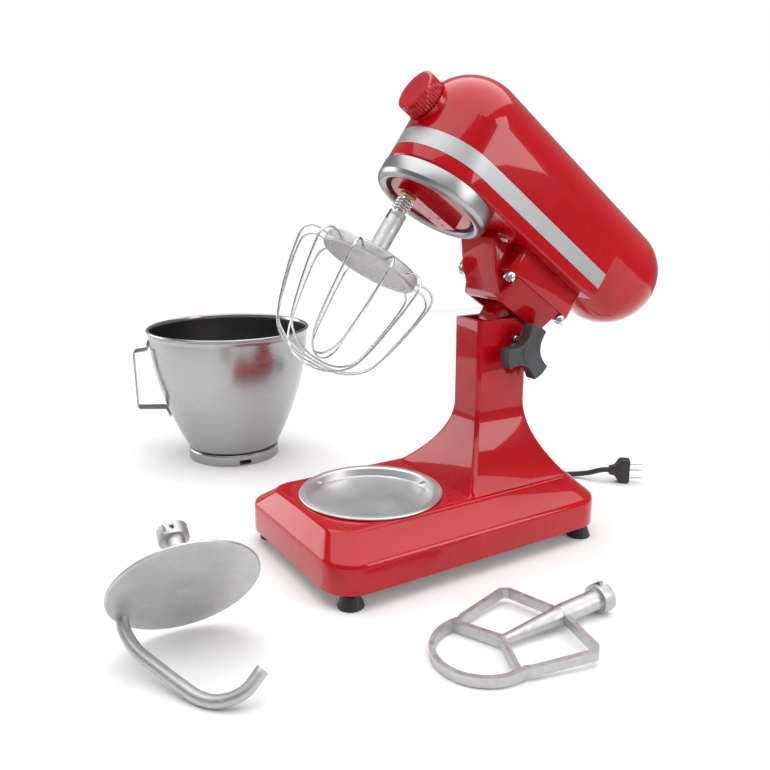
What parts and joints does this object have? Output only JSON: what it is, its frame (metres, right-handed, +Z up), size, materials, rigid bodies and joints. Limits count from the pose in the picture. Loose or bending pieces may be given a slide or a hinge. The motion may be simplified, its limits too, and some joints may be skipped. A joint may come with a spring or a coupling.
{
  "type": "stand mixer",
  "caption": "Tilt-head planetary stand mixer on a column base, head tilted up with a wire whisk, with a handled steel bowl, dough hook, flat beater and a plugged supply cord.",
  "frame": {"origin": "on the surface the set stands on, under the middle of the whole set of mixer, bowl, hook and beater", "axes": "+Z up; -Y the side where food is mixed, the front of the mixer; +X the side with the clamp knob"},
  "size_m": [0.7994, 0.7198, 0.5023],
  "materials": {
    "red_enamel": "high gloss red enamel",
    "bowl_steel": "fine spun brushing, satin",
    "seat_steel": "satin pressed sheet",
    "bezel_steel": "turned, satin",
    "satin_stripe": "satin silver strip",
    "cast_aluminium": "satin burnished casting",
    "bright_steel": "polished",
    "whisk_wire": "polished wire",
    "knob_plastic": "fine-grained dark grey",
    "black_rubber": "matte",
    "cord_jacket": "satin black jacket",
    "brass": "machined",
    "gear_steel": "machined steel grey",
    "copper_winding": "varnished copper",
    "circuit_board": "green laminate"
  },
  "bodies": {
    "stand": {"stand_casting": "red_enamel", "base_cover": "seat_steel", "bowl_seat": "seat_steel", "foot_front_left": "black_rubber", "foot_front_right": "black_rubber", "foot_rear_left": "black_rubber", "foot_rear_right": "black_rubber", "hinge_bolt": "bright_steel", "cheek_screw": "bright_steel", "cord_gland": "cord_jacket", "cord_lead": "cord_jacket", "cord_coil": "cord_jacket", "cord_tail": "cord_jacket", "plug_body": "cord_jacket", "plug_pin_1": "bright_steel", "plug_pin_2": "bright_steel", "plug_pin_3": "bright_steel"},
    "clamp_knob": {"clamp_knob": "knob_plastic", "clamp_washer": "bright_steel"},
    "head": {"head_case": "red_enamel", "case_screw_left": "bright_steel", "case_screw_right": "bright_steel", "trim_band": "satin_stripe", "head_cover": "red_enamel", "bezel_ring": "bezel_steel", "neck_bracket": "red_enamel", "neck_screw_front_left": "bright_steel", "neck_screw_front_right": "bright_steel", "neck_screw_rear_left": "bright_steel", "neck_screw_rear_right": "bright_steel", "ring_gear": "gear_steel", "lower_bearing": "gear_steel", "upper_bearing": "gear_steel", "bearing_bridge": "cast_aluminium", "motor_stator": "gear_steel", "motor_bearing": "gear_steel", "speed_board": "circuit_board"},
    "carrier": {"planet_carrier": "red_enamel", "main_shaft": "bright_steel", "worm_wheel": "brass"},
    "tool": {"tool_shaft": "bright_steel", "planet_gear": "gear_steel", "shaft_collar": "brass", "tool_spring": "bright_steel"},
    "motor": {"motor_armature": "copper_winding", "worm": "gear_steel", "cooling_fan": "knob_plastic"},
    "speed_knob": {"speed_knob": "red_enamel"},
    "whisk": {"whisk_hub": "cast_aluminium", "whisk_wire_1": "whisk_wire", "whisk_wire_2": "whisk_wire", "whisk_wire_3": "whisk_wire", "whisk_wire_4": "whisk_wire", "whisk_wire_5": "whisk_wire", "whisk_wire_6": "whisk_wire"},
    "bowl": {"bowl": "bowl_steel", "bowl_foot": "bowl_steel", "bowl_handle": "bowl_steel"},
    "dough_hook": {"dough_hook": "cast_aluminium"},
    "flat_beater": {"flat_beater": "cast_aluminium"}
  },
  "joints": [
    {"name": "head_tilt", "type": "hinge", "parent": "stand", "child": "head", "pos_m": [0.11126, 0.12722, 0.211], "axis": [1, 0, 0], "range_deg": [0, 35]},
    {"name": "planet_spin", "type": "hinge", "parent": "head", "child": "carrier", "pos_m": [0.11126, 0.03197, 0.38634], "axis": [0, 0.5736, 0.8192], "continuous": true},
    {"name": "tool_spin", "type": "hinge", "parent": "carrier", "child": "tool", "pos_m": [0.11126, 0.00903, 0.40241], "axis": [0, 0.5736, 0.8192], "continuous": true},
    {"name": "motor_spin", "type": "hinge", "parent": "head", "child": "motor", "pos_m": [0.13336, 0.15157, 0.37584], "axis": [0, 0.8192, -0.5736], "continuous": true},
    {"name": "speed_dial", "type": "hinge", "parent": "head", "child": "speed_knob", "pos_m": [0.11126, 0.01609, 0.47437], "axis": [0, -0.8192, 0.5736], "range_deg": [0, 270]},
    {"name": "clamp_turn", "type": "hinge", "parent": "stand", "child": "clamp_knob", "pos_m": [0.11126, 0.12722, 0.211], "axis": [1, 0, 0], "range_deg": [0, 270]},
    {"name": "whisk_pull", "type": "slide", "parent": "tool", "child": "whisk", "axis": [0, -0.5736, -0.8192], "range_m": [0, 0.01]},
    {"name": "bowl_lift", "type": "slide", "parent": "stand", "child": "bowl", "axis": [0, 0, 1], "range_m": [0, 0.25]},
    {"name": "hook_lift", "type": "slide", "parent": "stand", "child": "dough_hook", "axis": [0, 0, 1], "range_m": [0, 0.2]},
    {"name": "beater_lift", "type": "slide", "parent": "stand", "child": "flat_beater", "axis": [0, 0, 1], "range_m": [0, 0.2]}
  ],
  "couplings": [
    {"joint": "tool_spin", "follows": "planet_spin", "ratio": -3},
    {"joint": "motor_spin", "follows": "planet_spin", "ratio": -24}
  ]
}
